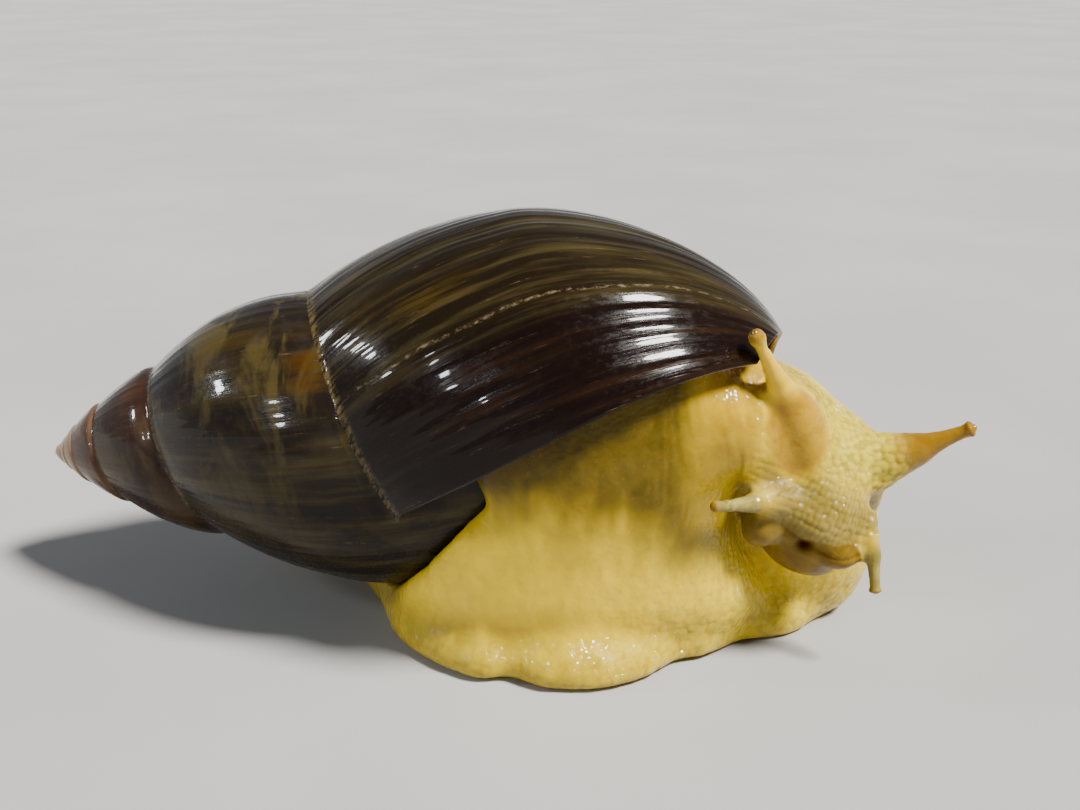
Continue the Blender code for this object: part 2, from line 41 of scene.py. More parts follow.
# ---- shell: the same helico-spiral as the solids ----
SHELL_LENGTH = 150.0
TURNS = 6.25
SHELL_TIP = np.array((-111.8, 29.3, 25.0))
SHELL_YAW, SHELL_RISE = math.radians(-9.1), math.radians(9.7)
LIP_ANGLE = math.radians(108.4)
SUTURE_RADIUS, SUTURE_RADIUS_RATE, SUTURE_RADIUS_BEND = 30.8, 0.549, 0.008
SUTURE_HEIGHT, SUTURE_HEIGHT_RATE, SUTURE_HEIGHT_BEND = 77.1, 0.899, 0.0245
TIP_STRETCH, TIP_STRETCH_RATE, TIP_START = 1.27, 0.9, 6.3
BASE_RATE = 0.077
SHOULDER_SHARE = 0.864
BODY_RADIUS, BODY_HEIGHT = 38.4, 116.4
BASE_POWER, BASE_ROUND = 1.64, 1.66
# bulge of the last whorl and of the flatter spire, and the turns over which one becomes the other
SHOULDER_POWER, SPIRE_POWER, SPIRE_TURNS = 2.1, 1.15, 1.7
COLUMELLA_RADIUS = 5.1
LIP_SLANT, LIP_CURVE = 0.127, 0.74
NOTCH_MIDDLE, NOTCH_HALVES = (33.0, -4.0, 43.7), (22.5, 20.0, 16.2)    # an egg cut out of the lip for the neck
SHELL_STEPS = 384              # columns in a whorl
SPIRE_ROWS, BASE_ROWS = 26, 120
PARIETAL_TURN = 0.10           # how far the inner wall is followed into the aperture
SHELL_THICKNESS = 1.0
# growth time of each mark where growth rested, and how far it stands out in millimetres
REST_MARKS = (
    (-0.104, 0.20), (-0.03, -0.16), (-0.21, -0.20), (-0.33, 0.16), (-0.52, -0.18),
    (-1.1, 0.14), (-1.2, -0.16), (-1.42, -0.14), (-2.12, 0.12), (-2.2, -0.1),
)
REST_WIDTH = 0.0045
WORN_LINE = 3.315              # growth along the suture, in units of 100 mm, of the pale worn line
# ground and streak colours by age, from the pinkish tip to the black-brown body whorl
DARK_BY_AGE = (
    (0.0, (0.36, 0.24, 0.14)), (0.40, (0.19, 0.11, 0.06)), (0.50, (0.060, 0.028, 0.017)),
    (0.62, (0.023, 0.011, 0.007)), (0.80, (0.010, 0.007, 0.005)), (0.97, (0.009, 0.0056, 0.0024)),
)
OLIVE_BY_AGE = (
    (0.0, (0.42, 0.30, 0.19)), (0.45, (0.15, 0.085, 0.045)), (0.64, (0.050, 0.028, 0.016)),
    (0.80, (0.072, 0.053, 0.014)), (0.96, (0.066, 0.050, 0.016)),
)
# growth, its spread, depth below the suture, its spread, strength, colour
AMBER_PATCHES = (
    (1.885, 0.050, 0.36, 0.06, 0.85, (0.050, 0.020, 0.001)),
    (1.84, 0.06, 0.22, 0.10, 0.6, (0.045, 0.028, 0.003)),
    (3.235, 0.045, 0.24, 0.12, 0.7, (0.070, 0.043, 0.004)),
    (3.20, 0.05, 0.10, 0.08, 0.6, (0.060, 0.030, 0.004)),
    (1.10, 0.06, 0.10, 0.05, 0.5, (0.090, 0.040, 0.016)),
)
YOUNG, YOUNG_STREAK = (0.0050, 0.0017, 0.0016), (0.024, 0.008, 0.003)
BLOOM, SCRATCH = (0.042, 0.032, 0.028), (0.15, 0.10, 0.045)
WORN, SUTURE_THREAD = (0.20, 0.14, 0.075), (0.17, 0.12, 0.045)
DULL_HEIGHT, POLISHED_HEIGHT, DULL_COAT = 0.014, 0.044, 0.10     # metres; the underside is rubbed dull

# ---- flesh ----
FLESH = (
    "tail", "foot", "body", "neck", "head", "oral_lobe_right", "oral_lobe_left",
    "upper_tentacle_right", "upper_tentacle_left", "lower_tentacle_right", "lower_tentacle_left",
)
TRUNK = FLESH[:7]
CLOSE_GAPS = 0.28              # the flesh is swollen by this to close the cuts, then brought back
COARSE_VOXEL, FINE_VOXEL = 0.62, 0.28
TRUNK_PASSES = 22
WELD = 1e-6
ROOT_SHARE = 0.42              # share of each feeler that is joined to the trunk before smoothing
LEFT_SWOLLEN = 0.03            # how far the finished skin stays outside the solids' own surface
LOOK_UP, LOOK_FORWARD = (0.407, 0.16, 0.90), (-0.12, -0.98, 0.18)
# egg shapes that the head is built from: middle and half sizes along the face's own directions
HEAD_LUMPS = {
    "crown": ((38.6, 1.5, 34.3), (8.6, 9.4, 10.5)),
    "cheek": ((31.3, -1.0, 36.5), (7.6, 9.6, 7.5)),
    "brow": ((36.2, -3.2, 31.3), (8.2, 9.2, 8.4)),
    "snout": ((34.6, -4.8, 27.4), (9.0, 8.6, 8.6)),
    "chin": ((32.6, -3.6, 19.8), (8.2, 4.6, 6.2)),
    "lobe_right": ((24.6, -8.6, 26.2), (3.8, 4.0, 4.4)),
    "lobe_left": ((37.6, -9.2, 21.9), (5.0, 3.4, 4.2)),
}
# places of the base, the bend and the tip, then radii of the base, the bend, the waist and the bulb
FEELERS = {
    "upper_tentacle_right": (
        (33.4, -2.6, 37.5), (29.4, -5.6, 46.8), (21.0, -12.0, 63.0), (6.8, 4.3, 1.0, 1.45)),
    "upper_tentacle_left": (
        (45.0, -1.0, 35.4), (52.5, -3.5, 39.0), (61.2, -6.0, 44.0), (5.8, 3.0, 1.15, 1.5)),
    "lower_tentacle_right": (
        (28.3, -9.0, 31.8), (21.4, -14.4, 33.3), (14.3, -19.5, 35.0), (3.4, 1.6, 0.85, 1.05)),
    "lower_tentacle_left": (
        (42.6, -6.0, 27.4), (44.5, -10.0, 21.5), (44.9, -12.3, 15.0), (3.0, 1.45, 0.9, 1.25)),
}
FEELER_SIDES, FEELER_STEPS = 40, 90
FLARE_SHARES = ((0.25, 0.5), (0.5, 0.17), (0.8, 0.0))
BULB_SHARE = 0.91
EYE_SET_BACK = 0.45
EYE_RADIUS = 0.8
EYE_SHOWN = 0.86               # size of the glossy eye spot against its packed ball
FACE_MIDDLE, FACE_ROUND = np.array((35.5, -1.0, 28.0)), 9.5    # middle and radius that columns of beads wrap
BEAD = (0.85, 1.35)            # spacing of the beads across and up the face
LIP_RISE = -4.6                # height on the face, up from its middle, below which the lips are smooth
CHEEK_MIDDLE, CHEEK_HALVES = (30.0, 43.8), (6.6, 8.4)          # smooth patch of the cheek, in x and z
MOUTH, MOUTH_SHAPE = np.array((32.1, -12.0, 24.0)), np.array((0.85, 0.5, 1.0))
# places along each groove by the mouth, its depth and half width
MOUTH_GROOVES = (
    (((24.6, -9.6, 22.8), (26.8, -10.4, 22.3), (28.9, -10.8, 22.8), (30.9, -11.4, 23.7), (32.1, -11.9, 24.0)),
     0.55, 0.42),
    (((32.1, -11.9, 24.0), (33.9, -12.2, 23.4), (36.2, -12.4, 22.4), (38.9, -12.2, 21.6), (41.6, -10.8, 21.8)),
     0.60, 0.42),
    (((28.5, -11.6, 27.1), (30.2, -11.6, 25.8), (31.4, -11.9, 24.7)), 0.35, 0.35),
)
SLITS = np.array(((23.7, -4.0, 38.0), (21.1, -4.0, 30.4)))     # two small dark marks by the neck
SLIT_SHAPE = np.array((1.4, 1.0, 0.6))
SKIN_BASE = (0.77, 0.515, 0.001), (0.85, 0.585, 0.002)
# painted value, its strength, and the two colours that its mottle runs between; later rows lie on top
SKIN_TONES = (
    # the neck top's own orange-yellow, also darkened as painted shade to damp the sunlit flesh under the shell
    # lip
    ("nape", 0.90, (0.38, 0.220, 0.001), (0.50, 0.310, 0.003)),
    # painted shade under the shell lip, laid over the neck's own duller olive
    ("shade", 0.94, (0.024, 0.016, 0.002), (0.050, 0.034, 0.006)),
    # painted shadow of the shell lip: a dark band on the flesh just under it
    ("painted_lip_shadow", 0.85, (0.016, 0.008, 0.001), (0.028, 0.016, 0.003)),
    ("head", 0.95, (0.31, 0.235, 0.008), (0.42, 0.330, 0.024)),
    ("snout", 0.95, (0.13, 0.095, 0.016), (0.21, 0.155, 0.040)),
    ("lips", 0.95, (0.108, 0.057, 0.001), (0.168, 0.096, 0.003)),
    # the right oral lobe's own greyer colour, lightened as painted light where the feeler's shadow falls on it
    ("pale_lobe_painted_light", 0.55, (0.190, 0.125, 0.022), (0.260, 0.180, 0.045)),
    ("stalk", 1.00, (0.58, 0.36, 0.005), (0.69, 0.45, 0.010)),
    # painted shade along the shell lip on the right of the neck, damping the sunlit flesh there
    ("painted_shade_below_lip", 0.90, (0.22, 0.120, 0.001), (0.30, 0.175, 0.002)),
    # painted shadow in the hollow of the neck beside the head
    ("painted_neck_shadow", 0.85, (0.130, 0.084, 0.002), (0.200, 0.134, 0.005)),
    ("side", 0.95, (0.30, 0.155, 0.002), (0.39, 0.215, 0.004)),
    ("orange", 0.95, (0.18, 0.085, 0.002), (0.24, 0.120, 0.003)),
    ("lower", 1.00, (0.18, 0.140, 0.020), (0.28, 0.235, 0.060)),
    ("bulb", 0.90, (0.17, 0.082, 0.002), (0.23, 0.120, 0.004)),
    # the foot's olive margin, painted darker toward the floor as shade
    ("edge", 0.85, (0.30, 0.195, 0.003), (0.40, 0.275, 0.008)),
)
# painted value, its strength and its one colour, laid over the tones
SKIN_DETAILS = (
    ("grain", 0.30, (0.86, 0.67, 0.02)),
    ("groove", 0.42, (0.26, 0.15, 0.004)),
    # painted shade darkening hollows and creases
    ("painted_crevice_shade", 0.75, (0.12, 0.050, 0.003)),
)
SKIN_FLECKS, MOUTH_RED, SLIT_DARK = (0.36, 0.20, 0.01), (0.070, 0.010, 0.004), (0.05, 0.014, 0.006)

# ---- view and light ----
# sine of the height above the horizon, and brightness there
ROOM_GLOW = ((0.0, 0.52), (0.15, 0.36), (0.45, 0.20), (1.0, 0.14))
ROOM_TINT = (0.92, 0.95, 1.0)
# name, direction it comes from, strength, angle in degrees, colour
LAMPS = (
    ("key", (0.53, -0.24, 0.81), 11.0, 13.0, (1.0, 0.97, 0.92)),
    ("window", (-0.72, -0.56, 0.41), 0.65, 4.0, (0.92, 0.96, 1.0)),
    ("side_window", (-0.91, 0.02, 0.41), 0.75, 4.5, (0.92, 0.96, 1.0)),
)
FLOOR_SIZE, FLOOR_DROP = 9.0, 0.00005
FLOOR_TONES = (0.312, 0.309, 0.304), (0.350, 0.347, 0.342)
CAMERA_PLACE = (-14.0, -223.7, 127.3)
CAMERA_DROP = math.radians(20)
CAMERA_LENS, CAMERA_SENSOR, CAMERA_NEAR = 45.0, 36.0, 0.005

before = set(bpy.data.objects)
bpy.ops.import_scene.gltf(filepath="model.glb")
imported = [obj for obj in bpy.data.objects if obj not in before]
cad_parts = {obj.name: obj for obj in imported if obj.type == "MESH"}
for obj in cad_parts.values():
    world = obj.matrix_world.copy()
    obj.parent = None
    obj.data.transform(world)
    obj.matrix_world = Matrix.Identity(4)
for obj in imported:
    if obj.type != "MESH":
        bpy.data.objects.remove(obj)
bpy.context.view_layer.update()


def working_offset():
    """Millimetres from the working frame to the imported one, from where the right eye lies in each."""
    bend, tip = (np.array(place) for place in FEELERS["upper_tentacle_right"][1:3])
    eye = tip - (tip - bend) / np.linalg.norm(tip - bend) * EYE_SET_BACK
    low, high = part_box("eye_right")
    return np.array((low + high) / 2) / MM - eye


OFFSET = working_offset()


def packed(points):
    """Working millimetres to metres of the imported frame."""
    return (np.asarray(points, float) + OFFSET) * MM


def working(points):
    """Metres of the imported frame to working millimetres."""
    return np.asarray(points, float) / MM - OFFSET


# ---- numbers ----
def smoothstep(low, high, value):
    share = np.clip((value - low) / (high - low), 0, 1)
    return share * share * (3 - 2 * share)


def fade(low, high, value):
    return 1 - smoothstep(low, high, value)


def bell(value, middle, width):
    return np.exp(-((value - middle) / width) ** 2)


def unit(vector):
    vector = np.asarray(vector, float)
    return vector / np.linalg.norm(vector, axis=-1, keepdims=True)


def scatter(cells, seed):
    """A steady pseudo-random number from 0 to 1 for each row of whole numbers."""
    mixed = cells[..., 0] * 73856093 ^ cells[..., 1] * 19349663 ^ cells[..., 2] * 83492791
    mixed = mixed ^ (seed * 2654435)
    mixed = (mixed ^ (mixed >> 13)) * 1274126177
    mixed = (mixed ^ (mixed >> 16)) & 0xFFFFFF
    return mixed / 0xFFFFFF


def cloud(points, seed=0):
    """Smooth noise from 0 to 1 with a wavelength near two units."""
    floor = np.floor(points).astype(np.int64)
    part = points - floor
    part = part * part * (3 - 2 * part)
    total = np.zeros(len(points))
    for corner in itertools.product((0, 1), repeat=3):
        weight = np.prod(np.where(corner, part, 1 - part), axis=1)
        total += weight * scatter(floor + np.array(corner), seed)
    return total


def layered_cloud(points, seed=0, layers=3):
    total, size = 0.0, 0.0
    for layer in range(layers):
        share = 0.5 ** layer
        total = total + share * cloud(points * 2.03 ** layer, seed + 17 * layer)
        size += share
    return total / size


def knobs(points, seed=0, jitter=0.9):
    """Distances to the nearest and next nearest of points strewn one to a unit cell, in 2-D or 3-D."""
    width = points.shape[1]
    floor = np.floor(points).astype(np.int64)
    first, second = np.full(len(points), 9.0), np.full(len(points), 9.0)
    for step in itertools.product((-1, 0, 1), repeat=width):
        cell = floor + np.array(step)
        label = np.pad(cell, ((0, 0), (0, 3 - width)))
        strewn = np.stack([scatter(label, seed + k) for k in range(width)], axis=1)
        away = np.linalg.norm(cell + 0.5 + jitter * (strewn - 0.5) - points, axis=1)
        second = np.minimum(second, np.maximum(away, first))
        first = np.minimum(first, away)
    return first, second


def dome(distance, radius):
    """The height of a round bead from the distance to its middle."""
    return np.sqrt(np.maximum(0.0, 1 - (distance / radius) ** 2))


def distance_to(points, path):
    """Millimetres from each point to the nearest of a path's points."""
    nearest = np.full(len(points), 1e9)
    for place in path:
        nearest = np.minimum(nearest, np.linalg.norm(points - place, axis=1))
    return nearest


# ---- meshes ----
def added(name, data):
    obj = bpy.data.objects.new(name, data)
    bpy.context.scene.collection.objects.link(obj)
    return obj


def mesh_object(name, points, faces):
    mesh = bpy.data.meshes.new(name)
    mesh.from_pydata(np.asarray(points).tolist(), [], faces)
    return added(name, mesh)


def read(rows, key, width, kind=np.float32):
    """One value of every row of a mesh, as an array."""
    flat = np.empty(len(rows) * width, kind)
    rows.foreach_get(key, flat)
    return flat.reshape(-1, width)


def places(mesh):
    return read(mesh.vertices, "co", 3).astype(float)


def set_places(mesh, points):
    mesh.vertices.foreach_set("co", np.asarray(points, np.float32).ravel())
    mesh.update()


def normals(mesh):
    return read(mesh.vertex_normals, "vector", 3).astype(float)


def edge_pairs(mesh):
    return read(mesh.edges, "vertices", 2, np.int32)


def relaxed(values, edges, count, times, strength=0.5):
    """Values on the vertices, averaged with their neighbours a number of times."""
    values = np.asarray(values, float)
    one = values.ndim == 1
    values = values.reshape(count, -1)
    degree = np.bincount(edges.ravel(), minlength=count).astype(float)
    degree[degree == 0] = 1
    for _ in range(times):
        mean = np.empty_like(values)
        for k in range(values.shape[1]):
            mean[:, k] = np.bincount(edges[:, 0], values[edges[:, 1], k], count)
            mean[:, k] += np.bincount(edges[:, 1], values[edges[:, 0], k], count)
        values = values + strength * (mean / degree[:, None] - values)
    return values[:, 0] if one else values


def settle(obj):
    """Makes the evaluated mesh the object's own."""
    bpy.context.view_layer.update()
    graph = bpy.context.evaluated_depsgraph_get()
    made = bpy.data.meshes.new_from_object(obj.evaluated_get(graph))
    obj.modifiers.clear()
    obj.data = made


def remesh(obj, voxel):
    step = obj.modifiers.new("Remesh", "REMESH")
    step.mode, step.voxel_size = "VOXEL", voxel * MM
    settle(obj)


# ---- node helpers ----
class Paint:
    """Builds one material's nodes; most methods return an output socket."""

    def __init__(self, name):
        self.material = bpy.data.materials.new(name)
        self.material.use_nodes = True
        self.tree = self.material.node_tree
        self.shader = self.tree.nodes["Principled BSDF"]

    def node(self, kind, settings=None, **inputs):
        made = self.tree.nodes.new("ShaderNode" + kind)
        for key, value in (settings or {}).items():
            setattr(made, key, value)
        for key, value in inputs.items():
            self.feed(made.inputs[key.replace("_", " ")], value)
        return made

    def feed(self, socket, value):
        if isinstance(value, bpy.types.NodeSocket):
            self.tree.links.new(value, socket)
        elif isinstance(value, tuple) and len(value) == 3 and socket.type == "RGBA":
            socket.default_value = (*value, 1.0)
        else:
            socket.default_value = value

    def values(self, name):
        return self.node("Attribute", {"attribute_name": name}).outputs["Fac"]

    def uv(self, name):
        return self.node("UVMap", {"uv_map": name}).outputs["UV"]

    def place(self):
        return self.node("TexCoord").outputs["Object"]

    def parts(self, vector):
        return self.node("SeparateXYZ", Vector=vector).outputs

    def stretched(self, vector, scale):
        return self.node("Mapping", Vector=vector, Scale=scale).outputs["Vector"]

    def noise(self, vector, scale, detail=3.0, roughness=0.55, distortion=0.0):
        return self.node("TexNoise", Vector=vector, Scale=scale, Detail=detail, Roughness=roughness,
                         Distortion=distortion).outputs["Fac"]

    def voronoi(self, vector, scale):
        return self.node("TexVoronoi", Vector=vector, Scale=scale).outputs["Distance"]

    def ramp(self, value, *stops):
        made = self.node("ValToRGB", Fac=value)
        band = made.color_ramp
        while len(band.elements) < len(stops):
            band.elements.new(0.5)
        for element, (place, colour) in zip(band.elements, stops):
            element.position, element.color = place, (*colour, 1.0)
        return made.outputs["Color"]

    def band(self, value, low, high, out_low=0.0, out_high=1.0):
        """Runs smoothly from one output to the other while the value goes from low to high."""
        return self.node("MapRange", {"interpolation_type": "SMOOTHSTEP"}, Value=value, From_Min=low,
                         From_Max=high, To_Min=out_low, To_Max=out_high).outputs["Result"]

    def hump(self, value, middle, spread):
        """1 at the middle, falling smoothly to 0 at the spread's ends."""
        away = self.math("ABSOLUTE", self.math("SUBTRACT", value, middle))
        return self.band(away, spread, 0.0)

    def math(self, operation, a, b=0.5):
        made = self.node("Math", {"operation": operation})
        self.feed(made.inputs[0], a)
        self.feed(made.inputs[1], b)
        return made.outputs[0]

    def times(self, a, b):
        return self.math("MULTIPLY", a, b)

    def mix(self, share, a, b):
        return self.node("Mix", {"data_type": "RGBA"}, Factor=share, A=a, B=b).outputs["Result"]

    def laid(self, below, above, share, strength):
        """One colour laid over another."""
        return self.mix(self.times(share, strength), below, above)

    def bump(self, height, strength, distance, before=None):
        """A bump over an earlier one; the distance is in millimetres."""
        made = self.node("Bump", Height=height, Strength=strength, Distance=distance * MM)
        if before is not None:
            self.feed(made.inputs["Normal"], before)
        return made.outputs["Normal"]

    def finish(self, **inputs):
        """Feeds the shader and returns the material."""
        for key, value in inputs.items():
            self.feed(self.shader.inputs[key.replace("_", " ")], value)
        return self.material


# ---- shell ----
# Growth time t counts turns: the tip is at -TURNS and the newest suture at 0. Heights run down the axis
# from the tip, and v is the share of the way from the suture to the base.
def suture_radius(t):
    return SUTURE_RADIUS * np.exp(SUTURE_RADIUS_RATE * t + SUTURE_RADIUS_BEND * t * t)


def suture_height(t):
    grown = SUTURE_HEIGHT * np.exp(SUTURE_HEIGHT_RATE * t + SUTURE_HEIGHT_BEND * t * t)
    return grown + TIP_STRETCH * (1 - np.exp(-TIP_STRETCH_RATE * (t + TIP_START)))


def base_height(t):
    return SHELL_LENGTH * np.exp(BASE_RATE * t)


def widest(t):
    """Radius and height of the widest ring of the whorl at t."""
    early = np.minimum(t, -1.0)
    height = suture_height(early) + SHOULDER_SHARE * (suture_height(early + 1) - suture_height(early))
    share = (suture_height(early + 1) - height) / (base_height(early) - height)
    kept = (1 - share ** BASE_POWER) ** (1 / BASE_ROUND)
    radius = COLUMELLA_RADIUS + (suture_radius(early + 1) - COLUMELLA_RADIUS) / kept
    swell = np.clip(t + 1, 0, 1)
    return radius * (BODY_RADIUS / radius) ** swell, height * (BODY_HEIGHT / height) ** swell


def shell_radius(t, height):
    radius, middle = widest(t)
    low = np.clip((height - middle) / (base_height(t) - middle), 0, 1)
    below = COLUMELLA_RADIUS + (radius - COLUMELLA_RADIUS) * (1 - low ** BASE_POWER) ** (1 / BASE_ROUND)
    high = np.clip((middle - height) / (middle - suture_height(t)), 0, 1)
    power = SHOULDER_POWER + (SPIRE_POWER - SHOULDER_POWER) * smoothstep(0, SPIRE_TURNS, -1 - t)
    above = radius - (radius - suture_radius(t)) * high ** power
    return np.where(height >= middle, below, above)


def shell_frame():
    along = np.array((math.cos(SHELL_RISE) * math.cos(SHELL_YAW), math.cos(SHELL_RISE) * math.sin(SHELL_YAW),
                      math.sin(SHELL_RISE)))
    up = unit(np.array((0.0, 0.0, 1.0)) - along * along[2])
    return along, up, np.cross(along, up)


ALONG, UP, NEAR = shell_frame()


def shell_points(t, height, radius):
    turn = LIP_ANGLE + 2 * math.pi * t
    return (SHELL_TIP + height[..., None] * ALONG + (radius * np.cos(turn))[..., None] * UP
            + (radius * np.sin(turn))[..., None] * NEAR)


def lip_time(v):
    """How far growth lines lean back at a share v of the way down the whorl, in turns."""
    return -LIP_SLANT * v ** LIP_CURVE


def growth_length(t):
    """Millimetres of suture grown up to t, for patterns of a steady size."""
    return 2 * math.pi * suture_radius(t) / SUTURE_RADIUS_RATE


def whorl_height(t, v):
    return suture_height(t) + (base_height(t) - suture_height(t)) * v


def whorl_points(t, v):
    height = whorl_height(t, v)
    return shell_points(t, height, shell_radius(t, height))


def trimmed_share(growth):
    """For each growth line, how far along it the shell reaches before the notch cuts it."""
    low, high = np.full(len(growth), 0.3), np.ones(len(growth))
    for _ in range(30):
        middle = (low + high) / 2
        place = whorl_points(-1 + growth * (1 + lip_time(middle)), middle)
        inside = np.linalg.norm((place - NOTCH_MIDDLE) / NOTCH_HALVES, axis=-1) < 1
        high = np.where(inside, middle, high)
        low = np.where(inside, low, middle)
    return high


def shell_relief(t, w, grown, settled):
    """How far growth lines, rest marks and the suture cord stand out, in millimetres."""
    size = np.clip(suture_radius(t) / SUTURE_RADIUS, 0.03, 1)

    def field(along, down, layer):
        return np.stack([grown * along, w * down, np.full_like(w, layer)], axis=1)

    ridges = (layered_cloud(field(0.55, 0.018, 0), 3) - 0.5) * 0.40
    ridges += (cloud(field(1.6, 0.03, 1), 9) - 0.5) * 0.18
    dents = (layered_cloud(field(0.07, 0.07, 5), 21) - 0.5) * 0.8
    cord = bell(w, 0.45 * size, 0.32 * size + 0.04)
    beads = 0.6 + 0.8 * cloud(field(0.9, 0.0, 2), 31)
    rests = sum(bell(settled, place, REST_WIDTH) * depth for place, depth in REST_MARKS)
    return size ** 0.8 * (ridges + dents + 0.22 * cord * beads) + rests * size


def make_shell():
    spire_columns = round((TURNS - 1) * SHELL_STEPS)
    rows = SPIRE_ROWS + BASE_ROWS
    split = (suture_height(0.0) - suture_height(-1.0)) / (base_height(-1.0) - suture_height(-1.0))
    # the spire, whose lowest row is the top row of the next whorl
    column, row = np.meshgrid(np.arange(spire_columns + 1), np.arange(SPIRE_ROWS + 1), indexing="ij")
    spire_t = -TURNS + column / SHELL_STEPS
    spire_z = suture_height(spire_t) + (suture_height(spire_t + 1) - suture_height(spire_t)) * row / SPIRE_ROWS
    # the body whorl, its columns leaning as growth lines do, down to the notch
    growth = np.arange(SHELL_STEPS + 1) / SHELL_STEPS
    reach = trimmed_share(growth)
    shares = np.empty((SHELL_STEPS + 1, rows + 1))
    shares[:, :SPIRE_ROWS + 1] = split * np.arange(SPIRE_ROWS + 1) / SPIRE_ROWS
    down = np.arange(1, BASE_ROWS + 1) / BASE_ROWS
    shares[:, SPIRE_ROWS + 1:] = split + (reach[:, None] - split) * (1 - (1 - down) ** 1.25)
    body_t = -1 + growth[:, None] * (1 + lip_time(shares))
    body_z = whorl_height(body_t, shares)
    # the inner wall, a short way back into the aperture
    inner_columns, inner_rows = round(PARIETAL_TURN * SHELL_STEPS), rows + 1 - SPIRE_ROWS
    inner_t = np.repeat(-1 - np.arange(1, inner_columns + 1)[:, None] / SHELL_STEPS, inner_rows, axis=1)
    inner_z = np.repeat(body_z[:1, SPIRE_ROWS:], inner_columns, axis=0)
    t = np.concatenate([spire_t[:, :-1].ravel(), body_t.ravel(), inner_t.ravel()])
    z = np.concatenate([spire_z[:, :-1].ravel(), body_z.ravel(), inner_z.ravel()])
    spire_count = spire_t[:, :-1].size

    def spire_id(c, r):
        return np.where(r == SPIRE_ROWS, spire_or_body(c + SHELL_STEPS), c * SPIRE_ROWS + r)

    def spire_or_body(c):
        """The top row of column c, which is where the whorl above ends."""
        return np.where(c < spire_columns, c * SPIRE_ROWS, spire_count + (c - spire_columns) * (rows + 1))

    def body_id(c, r):
        own = spire_count + c * (rows + 1) + r
        return np.where((c == 0) & (r < SPIRE_ROWS), (spire_columns + c) * SPIRE_ROWS + r, own)

    def quads(ids, across, down_count):
        c, r = np.meshgrid(np.arange(across), np.arange(down_count), indexing="ij")
        return np.stack([ids(c, r), ids(c + 1, r), ids(c + 1, r + 1), ids(c, r + 1)], axis=-1).reshape(-1, 4)

    spire_faces = quads(spire_id, spire_columns, SPIRE_ROWS)
    body_faces = quads(body_id, SHELL_STEPS, rows)
    inner_start = spire_count + body_t.size

    def inner_id(c, r):
        back = inner_start + (c - 1) * inner_rows + r
        return np.where(c == 0, body_id(np.zeros_like(c), r + SPIRE_ROWS), back)

    inner_faces = quads(inner_id, inner_columns, inner_rows - 1)[:, ::-1]
    faces = np.concatenate([spire_faces, body_faces, inner_faces])
    # one point stands for both ends of the suture corner
    corner_from = int(body_id(np.array(0), np.array(SPIRE_ROWS)))
    corner_to = int(body_id(np.array(SHELL_STEPS), np.array(0)))
    faces[faces == corner_to] = corner_from
    radius = shell_radius(t, z)
    w = z - suture_height(t)
    v = np.clip(w / (base_height(t) - suture_height(t)), 0, 1)
    settled = t - lip_time(v) * np.clip(t + 1, 0, 1)
    lift = shell_relief(t, w, growth_length(settled), settled)
    lift[inner_start:] = 0.0
    lip = smoothstep(0.0, 0.02, -(t - lip_time(v)))
    points = shell_points(t, z, radius + lift * np.where(t > -1, lip, 1.0))
    tip = len(points)
    points = np.concatenate([points, shell_points(np.array([-TURNS]), np.array([-0.3]), np.array([0.0]))])
    ring = list(range(0, (SHELL_STEPS + 1) * SPIRE_ROWS, SPIRE_ROWS)) + list(range(SPIRE_ROWS - 1, 0, -1))
    cap = [(tip, ring[(i + 1) % len(ring)], ring[i]) for i in range(len(ring))]
    obj = mesh_object("shell_surface", packed(points), faces.tolist() + cap)
    mesh = obj.data
    # patterns need growth and place on both sides of a suture, so they are kept on face corners
    grow, age = np.zeros((len(mesh.loops), 2)), np.zeros((len(mesh.loops), 2))
    wall_t, wall_z = (np.concatenate([grid[:1, SPIRE_ROWS:], inner])
                      for grid, inner in ((body_t, inner_t), (body_z, inner_z)))
    face_t, face_w = corner_patterns((spire_t, spire_z, 1), (body_t, body_z, 1), (wall_t, wall_z, -1))
    count = len(face_t)
    face_v = np.clip(face_w / (base_height(face_t) - suture_height(face_t)), 0, 1)
    grow[:count, 0] = growth_length(face_t - lip_time(face_v) * np.clip(face_t + 1, 0, 1)) / 100
    grow[:count, 1] = face_w / 100
    age[:count, 0] = (face_t + TURNS) / TURNS
    age[:count, 1] = face_w / np.maximum(suture_height(face_t + 1) - suture_height(face_t), 0.01)
    for name, numbers in (("Grow", grow), ("Age", age)):
        layer = mesh.uv_layers.new(name=name)
        layer.data.foreach_set("uv", numbers.astype(np.float32).ravel())
    remove_loose(mesh)
    mesh.shade_smooth()
    wall = obj.modifiers.new("Wall", "SOLIDIFY")
    wall.thickness, wall.offset, wall.use_rim = SHELL_THICKNESS * MM, -1.0, True
    wall.material_offset = wall.material_offset_rim = 1
    mesh.materials.append(shell_material())
    mesh.materials.append(shell_lining())
    settle(obj)
    obj.data.shade_smooth()
    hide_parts("shell")
    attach(obj, "root")


def corner_patterns(*grids):
    """Growth time and distance from the suture above at each corner of each face, in face order.

    Each grid comes with 1, or with -1 where its faces are turned round."""
    times, depths = [], []
    for grid_t, grid_z, order in grids:
        c, r = np.meshgrid(np.arange(grid_t.shape[0] - 1), np.arange(grid_t.shape[1] - 1), indexing="ij")
        corners = ((c, r), (c + 1, r), (c + 1, r + 1), (c, r + 1))[::order]
        t = np.stack([grid_t[corner] for corner in corners], axis=-1).ravel()
        times.append(t)
        depths.append(np.stack([grid_z[corner] for corner in corners], axis=-1).ravel() - suture_height(t))
    return np.concatenate(times), np.concatenate(depths)


def remove_loose(mesh):
    """Takes out points that no face uses."""
    shape = bmesh.new()
    shape.from_mesh(mesh)
    loose = [vert for vert in shape.verts if not vert.link_faces]
    bmesh.ops.delete(shape, geom=loose, context="VERTS")
    shape.to_mesh(mesh)
    shape.free()


